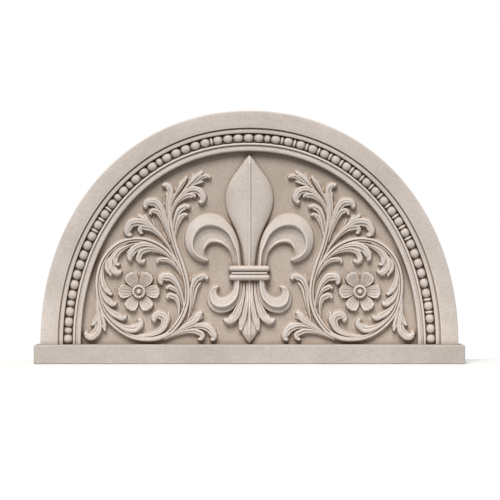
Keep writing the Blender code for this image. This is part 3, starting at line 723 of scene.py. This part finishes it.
def rosette_ground():
    """Six cupped and ribbed petals around a boss with a ring of small beads."""
    x0, y0 = ROSETTE_CENTRE
    reach = ROSETTE_REACH
    ground = Ground((x0 - reach, x0 + reach, y0 - reach, y0 + reach))
    x, y = np.meshgrid(ground.x - x0, ground.y - y0)
    everywhere = (slice(None), slice(None))
    reach = np.hypot(x, y)
    for k in range(PETALS):
        turn = math.tau * k / PETALS
        along = x * math.cos(turn) + y * math.sin(turn)
        across = -x * math.sin(turn) + y * math.cos(turn)
        scallop = SCALLOP * np.cos(across * math.tau / SCALLOP_SQUARES)
        scallop *= np.interp(reach, (13, 17), (0, 1))
        half = np.interp(along + scallop, *zip(*PETAL_ROWS))
        distance = np.where(along > 0, half + scallop - np.abs(across) - 0.1, -9)
        u = np.clip(np.abs(across) / np.maximum(half, 0.5), 0, 1)
        cup = np.interp(reach, *PETAL_CUP)
        ribs = 0.05 * np.cos(u * PETAL_RIBS * math.pi) * np.interp(reach, *RIB_SHOWS)
        crown = cup * (0.84 + 0.16 * u**2) + ribs
        ground.raise_to(everywhere, ROSETTE_PROUD * crown, distance)
    for radius, share in BOSS_DISCS:
        ground.raise_to(everywhere, ROSETTE_PROUD * share, radius - reach)
    beads = 0.75 + 0.25 * np.cos(np.arctan2(y, x) * BOSS_BEADS)
    ring = np.sqrt(np.clip(1 - ((reach - BOSS_RING) / BOSS_RING_HALF) ** 2, 0, 1)) * beads
    top = ROSETTE_PROUD * (BOSS_DISCS[-1][1] + BOSS_RING_RISE * ring)
    ground.height = np.maximum(ground.height, np.where(ring > 0, top, -SINK))
    ground.dome(ROSETTE_CENTRE, BOSS_RADIUS, ROSETTE_PROUD * BOSS_RISE)
    return ground


def sill_body():
    """The sill, rounded except at its back and along the lower edges of its two ends."""
    low, high = SILL_LOW, SILL_HIGH
    bm = bmesh.new()
    bmesh.ops.create_cube(bm, size=1.0)
    bmesh.ops.scale(bm, vec=high - low, verts=bm.verts)
    bmesh.ops.translate(bm, vec=(low + high) / 2, verts=bm.verts)
    middle = (low.z + high.z) / 2
    rounded = [e for e in bm.edges if any(v.co.y < 0 for v in e.verts) and not (
        e.verts[0].co.y * e.verts[1].co.y < 0 and max(v.co.z for v in e.verts) < middle)]
    bmesh.ops.bevel(bm, geom=rounded, offset=SILL_ROUND, segments=SILL_ROUND_STEPS, profile=0.5,
                    affect="EDGES")
    return bm


# Stone: colours are linear, distances are metres
STONE = (0.500, 0.446, 0.412)
# Painted shade: the sill's stone is darkened against the extra light that falls on its front
SILL_SHADE_TINT = 0.75
# Painted shade: narrow creases are darkened brown
CREASE_SHADE_TINT = (0.58, 0.50, 0.43)
CREASE_SHADE_REACH = 0.005
# Painted shade: a soft darkening round the forms and under the mouldings
CONTACT_SHADE_TINT = (0.47, 0.39, 0.32)
CONTACT_SHADE_REACH = 0.017
# Painted highlight: convex edges and crests are made paler
EDGE_HIGHLIGHT_REACH = 0.0055
EDGE_HIGHLIGHT_LIFT = 1.5
EDGE_HIGHLIGHT_SHARE = 0.75
FIELD_TINT = (0.82, 0.78, 0.73)
FIELD_TINT_FROM = 0.018
GRAIN_STRENGTH = 0.35
GRAIN_DEPTH = 0.0009


def stone_material(name, tint, alone=False):
    """Fine cast stone, paler on convex edges as a painted highlight, darker in the creases and
    round the forms as painted shade, and brown on the field.
    """
    made = bpy.data.materials.new(name)
    made.use_nodes = True
    nodes, links = made.node_tree.nodes, made.node_tree.links
    shader = nodes["Principled BSDF"]
    shader.inputs["Roughness"].default_value = 0.88
    shader.inputs["Specular IOR Level"].default_value = 0.25
    where = nodes.new("ShaderNodeTexCoord")

    def noise(scale, detail, rough=0.6):
        node = nodes.new("ShaderNodeTexNoise")
        node.inputs["Scale"].default_value = scale
        node.inputs["Detail"].default_value = detail
        node.inputs["Roughness"].default_value = rough
        links.new(where.outputs["Object"], node.inputs["Vector"])
        return node.outputs["Fac"]

    def ramp(value, *stops):
        node = nodes.new("ShaderNodeValToRGB")
        elements = node.color_ramp.elements
        while len(elements) < len(stops):
            elements.new(0.5)
        for element, (at, colour) in zip(elements, stops):
            element.position = at
            element.color = (*colour, 1)
        links.new(value, node.inputs["Fac"])
        return node.outputs["Color"]

    def mix(share, low, high, blend="MIX"):
        node = nodes.new("ShaderNodeMix")
        node.data_type = "RGBA"
        node.blend_type = blend
        for socket, value in ((node.inputs["Factor"], share), (node.inputs["A"], low),
                              (node.inputs["B"], high)):
            if isinstance(value, bpy.types.NodeSocket):
                links.new(value, socket)
            elif isinstance(value, float):
                socket.default_value = value
            else:
                socket.default_value = (*value, 1)
        return node.outputs["Result"]

    def hollow(distance, inside):
        node = nodes.new("ShaderNodeAmbientOcclusion")
        node.only_local = alone
        node.inside = inside
        node.samples = 8
        node.inputs["Distance"].default_value = distance
        return node.outputs["AO"]

    base = np.array(STONE) * tint
    cloud = ramp(noise(9.0, 4), (0.3, base * (0.90, 0.89, 0.87)), (0.7, base * (1.06, 1.06, 1.07)))
    grain = ramp(noise(250.0, 4, 0.75), (0.36, (0.80, 0.79, 0.77)), (0.5, (1, 1, 1)),
                 (0.64, (1.12, 1.12, 1.12)))
    colour = mix(0.75, cloud, mix(1.0, cloud, grain, "MULTIPLY"))
    # Painted highlight: convex edges and crests are lightened
    edge_highlight = ramp(hollow(EDGE_HIGHLIGHT_REACH, True), (0.55, (1, 1, 1)), (0.92, (0, 0, 0)))
    colour = mix(edge_highlight, colour, mix(EDGE_HIGHLIGHT_SHARE, colour, tuple(base * EDGE_HIGHLIGHT_LIFT)))
    # Painted shade in the narrow creases
    crease_shade = ramp(hollow(CREASE_SHADE_REACH, False), (0.35, (1, 1, 1)), (0.85, (0, 0, 0)))
    colour = mix(crease_shade, colour, mix(1.0, colour, CREASE_SHADE_TINT, "MULTIPLY"))
    # Painted shade round the forms, at a wider reach
    contact_shade = ramp(hollow(CONTACT_SHADE_REACH, False), (0.30, (1, 1, 1)), (0.88, (0, 0, 0)))
    colour = mix(contact_shade, colour, mix(1.0, colour, CONTACT_SHADE_TINT, "MULTIPLY"))
    depth = nodes.new("ShaderNodeSeparateXYZ")
    links.new(where.outputs["Object"], depth.inputs["Vector"])
    reach = nodes.new("ShaderNodeMapRange")
    links.new(depth.outputs["Y"], reach.inputs["Value"])
    reach.inputs["From Min"].default_value = FIELD_Y - FIELD_TINT_FROM
    reach.inputs["From Max"].default_value = FIELD_Y
    tinted = mix(1.0, colour, FIELD_TINT, "MULTIPLY")
    colour = mix(reach.outputs["Result"], colour, tinted)
    links.new(colour, shader.inputs["Base Color"])

    bump = nodes.new("ShaderNodeBump")
    bump.inputs["Strength"].default_value = GRAIN_STRENGTH
    bump.inputs["Distance"].default_value = GRAIN_DEPTH
    links.new(mix(0.4, noise(560.0, 2, 0.6), noise(70.0, 3)), bump.inputs["Height"])
    links.new(bump.outputs["Normal"], shader.inputs["Normal"])
    return made


SUN_PLACE = (-0.3, -1.5, 2.0)
SUN_TARGET = (0, 0, 0.33)
SUN_SPREAD = math.radians(34)
SUN_STRENGTH = 4.3
SUN_COLOUR = (1, 0.99, 0.97)
SKY_STRENGTH = 0.27
FLOOR_HALF_DEPTH_SHARE = 0.3
FLOOR_COLOUR = (0.82, 0.82, 0.82, 1)


def sun_light():
    """A wide soft light from the front, high up and a little to the left."""
    light = bpy.data.lights.new("key", "SUN")
    light.angle = SUN_SPREAD
    light.energy = SUN_STRENGTH
    light.color = SUN_COLOUR
    made = bpy.data.objects.new("key", light)
    made.location = SUN_PLACE
    heading = Vector(SUN_TARGET) - Vector(SUN_PLACE)
    made.rotation_euler = heading.to_track_quat("-Z", "Y").to_euler()
    bpy.context.scene.collection.objects.link(made)


def surroundings():
    """A pale floor, and a soft sky that the camera sees as white."""
    world = bpy.data.worlds.new("studio")
    bpy.context.scene.world = world
    world.use_nodes = True
    nodes, links = world.node_tree.nodes, world.node_tree.links
    nodes.clear()
    soft, white = nodes.new("ShaderNodeBackground"), nodes.new("ShaderNodeBackground")
    soft.inputs["Color"].default_value = (1.0, 0.985, 0.965, 1)
    soft.inputs["Strength"].default_value = SKY_STRENGTH
    white.inputs["Strength"].default_value = 1.0
    white.inputs["Color"].default_value = (1, 1, 1, 1)
    path, pick = nodes.new("ShaderNodeLightPath"), nodes.new("ShaderNodeMixShader")
    out = nodes.new("ShaderNodeOutputWorld")
    links.new(path.outputs["Is Camera Ray"], pick.inputs["Fac"])
    links.new(soft.outputs["Background"], pick.inputs[1])
    links.new(white.outputs["Background"], pick.inputs[2])
    links.new(pick.outputs["Shader"], out.inputs["Surface"])

    floor_mesh = bpy.data.meshes.new("floor")
    bm = bmesh.new()
    bmesh.ops.create_grid(bm, x_segments=1, y_segments=1, size=1.0,
                          matrix=Matrix.Diagonal((1.0, FLOOR_HALF_DEPTH_SHARE, 1, 1)))
    bm.to_mesh(floor_mesh)
    bm.free()
    floor = bpy.data.objects.new("floor", floor_mesh)
    bpy.context.scene.collection.objects.link(floor)
    pale = bpy.data.materials.new("pale_floor")
    pale.use_nodes = True
    shader = pale.node_tree.nodes["Principled BSDF"]
    shader.inputs["Base Color"].default_value = FLOOR_COLOUR
    shader.inputs["Roughness"].default_value = 0.9
    floor_mesh.materials.append(pale)
    sun_light()


# The camera stands far off and level, where the photo's view puts it
PIXEL = 0.0028
CAMERA_DISTANCE = 7.0
IMAGE_SIDE = 500
CENTRE_LINE_PIXEL = 249.4
SILL_TOP_PIXEL = 344.2


def camera():
    """The photo's view: square on to the carved face."""
    data = bpy.data.cameras.new("camera")
    data.sensor_width = 36.0
    data.lens = 36.0 * CAMERA_DISTANCE / (IMAGE_SIDE * PIXEL)
    made = bpy.data.objects.new("camera", data)
    x = (IMAGE_SIDE / 2 - CENTRE_LINE_PIXEL) * PIXEL
    z = SILL_HIGH.z + (SILL_TOP_PIXEL - IMAGE_SIDE / 2) * PIXEL
    made.location = (x, FIELD_Y - CAMERA_DISTANCE, z)
    made.rotation_euler = (math.pi / 2, 0, 0)
    bpy.context.scene.collection.objects.link(made)
    bpy.context.scene.camera = made


def build():
    """All pieces, then the light, the floor and the camera."""
    bpy.context.scene.view_settings.view_transform = "Standard"
    stone = stone_material("cast_stone", 1.0)
    # The sill gets a darker copy of the stone, as painted shade
    sill_stone = stone_material("sill_stone", SILL_SHADE_TINT, alone=True)
    node = "tympanum_panel"
    piece("panel_slab", slab_body(), stone, node)
    piece("bead_course", course_body(), stone, node)
    piece("fleur_de_lis", fleur_body(), stone, node, math.radians(55))
    scroll = Ground(SCROLL_SHEET)
    for row in STEMS.values():
        scroll.stem(row)
    for row in LEAVES.values():
        scroll.leaf(row, LEAF_PROUD)
    scroll.fill_grooves()
    rosette = rosette_ground()
    for side, mirror in (("left", False), ("right", True)):
        piece("scroll_" + side, scroll.body(mirror), stone, node, math.pi)
        piece("rosette_" + side, rosette.body(mirror), stone, node, math.pi)
    piece("sill", sill_body(), sill_stone, "base_sill")
    surroundings()
    camera()


build()
